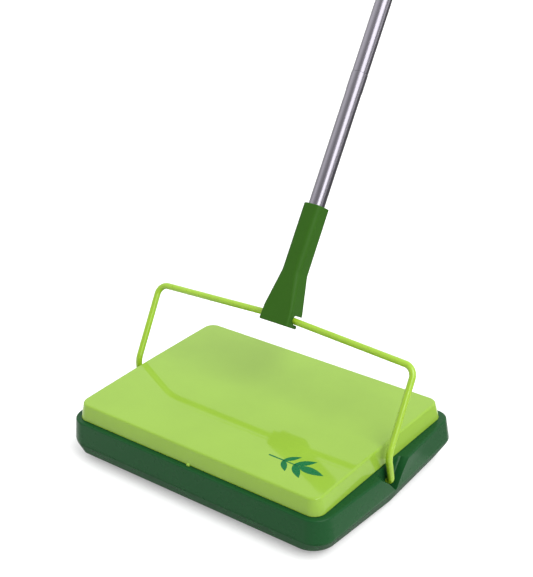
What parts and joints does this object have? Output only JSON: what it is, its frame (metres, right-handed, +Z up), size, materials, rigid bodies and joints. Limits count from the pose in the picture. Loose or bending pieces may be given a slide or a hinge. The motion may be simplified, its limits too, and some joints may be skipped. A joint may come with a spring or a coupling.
{
  "type": "carpet sweeper",
  "caption": "Push-along carpet sweeper: lime cover on a dark green base, wire bail with a leaning sectional tube handle, wheel-driven brush roller, two drop-open dust pans.",
  "frame": {"origin": "on the floor, under the middle of the body", "axes": "+X along the body's long side, +Y from the front towards the side the handle leans to, +Z up"},
  "size_m": [0.3156, 0.7061, 0.9471],
  "materials": {
    "lime_plastic": "glossy moulded lime plastic",
    "green_plastic": "semi-gloss dark green moulded plastic",
    "socket_green": "satin dark green moulded plastic",
    "lime_paint": "lime powder-coated steel wire",
    "aluminium": "satin drawn tube",
    "steel": "zinc-plated steel",
    "black_plastic": "fine-grained black moulded plastic",
    "rubber": "dark grey moulded rubber",
    "nylon": "natural nylon",
    "bristle": "black nylon bristle"
  },
  "bodies": {
    "body": {"base_shell": "green_plastic", "cover": "lime_plastic", "cover_screw_front_left": "steel", "cover_screw_front_right": "steel", "cover_screw_rear_left": "steel", "cover_screw_rear_right": "steel", "wheel_bracket_left": "black_plastic", "wheel_bracket_right": "black_plastic", "brush_bearing_left": "nylon", "brush_bearing_right": "nylon", "wheel_spring_left": "steel", "wheel_spring_right": "steel", "bail_bush_left": "nylon", "bail_bush_right": "nylon", "wheel_axle_front_left": "steel", "wheel_axle_front_right": "steel", "wheel_axle_rear_left": "steel", "wheel_axle_rear_right": "steel", "front_pan_hinge_rod": "steel", "rear_pan_hinge_rod": "steel"},
    "handle": {"bail": "lime_paint", "bail_cap_left": "steel", "bail_cap_right": "steel", "handle_socket": "socket_green", "handle_tube_1": "aluminium", "handle_tube_2": "aluminium", "handle_tube_3": "aluminium", "handle_tube_4": "aluminium", "handle_grip": "socket_green"},
    "brush": {"brush_core": "black_plastic", "brush_rod": "steel", "drive_disc_left": "rubber", "drive_disc_right": "rubber", "bristle_row_1": "bristle", "bristle_row_2": "bristle", "bristle_row_3": "bristle", "bristle_row_4": "bristle"},
    "front_pan": {"front_dust_pan": "black_plastic"},
    "rear_pan": {"rear_dust_pan": "black_plastic"},
    "wheel_front_left": {"wheel_hub_front_left": "black_plastic", "wheel_tyre_front_left": "rubber"},
    "wheel_front_right": {"wheel_hub_front_right": "black_plastic", "wheel_tyre_front_right": "rubber"},
    "wheel_rear_left": {"wheel_hub_rear_left": "black_plastic", "wheel_tyre_rear_left": "rubber"},
    "wheel_rear_right": {"wheel_hub_rear_right": "black_plastic", "wheel_tyre_rear_right": "rubber"}
  },
  "joints": [
    {"name": "handle_tilt", "type": "hinge", "parent": "body", "child": "handle", "pos_m": [0, 0, 0.028], "axis": [-1, 0, 0], "range_deg": [-31, 52]},
    {"name": "brush_spin", "type": "hinge", "parent": "body", "child": "brush", "pos_m": [0, 0, 0.029], "axis": [1, 0, 0], "continuous": true},
    {"name": "front_pan_hinge", "type": "hinge", "parent": "body", "child": "front_pan", "pos_m": [0, -0.094, 0.0115], "axis": [-1, 0, 0], "range_deg": [0, 75]},
    {"name": "rear_pan_hinge", "type": "hinge", "parent": "body", "child": "rear_pan", "pos_m": [0, 0.094, 0.0115], "axis": [1, 0, 0], "range_deg": [0, 75]},
    {"name": "wheel_spin_front_left", "type": "hinge", "parent": "body", "child": "wheel_front_left", "pos_m": [-0.1228, -0.04512, 0.025], "axis": [1, 0, 0], "continuous": true},
    {"name": "wheel_spin_front_right", "type": "hinge", "parent": "body", "child": "wheel_front_right", "pos_m": [0.1228, -0.04512, 0.025], "axis": [1, 0, 0], "continuous": true},
    {"name": "wheel_spin_rear_left", "type": "hinge", "parent": "body", "child": "wheel_rear_left", "pos_m": [-0.1228, 0.04512, 0.025], "axis": [1, 0, 0], "continuous": true},
    {"name": "wheel_spin_rear_right", "type": "hinge", "parent": "body", "child": "wheel_rear_right", "pos_m": [0.1228, 0.04512, 0.025], "axis": [1, 0, 0], "continuous": true}
  ],
  "couplings": [
    {"joint": "wheel_spin_front_left", "follows": "brush_spin", "ratio": -0.8},
    {"joint": "wheel_spin_front_right", "follows": "brush_spin", "ratio": -0.8},
    {"joint": "wheel_spin_rear_left", "follows": "brush_spin", "ratio": -0.8},
    {"joint": "wheel_spin_rear_right", "follows": "brush_spin", "ratio": -0.8}
  ]
}
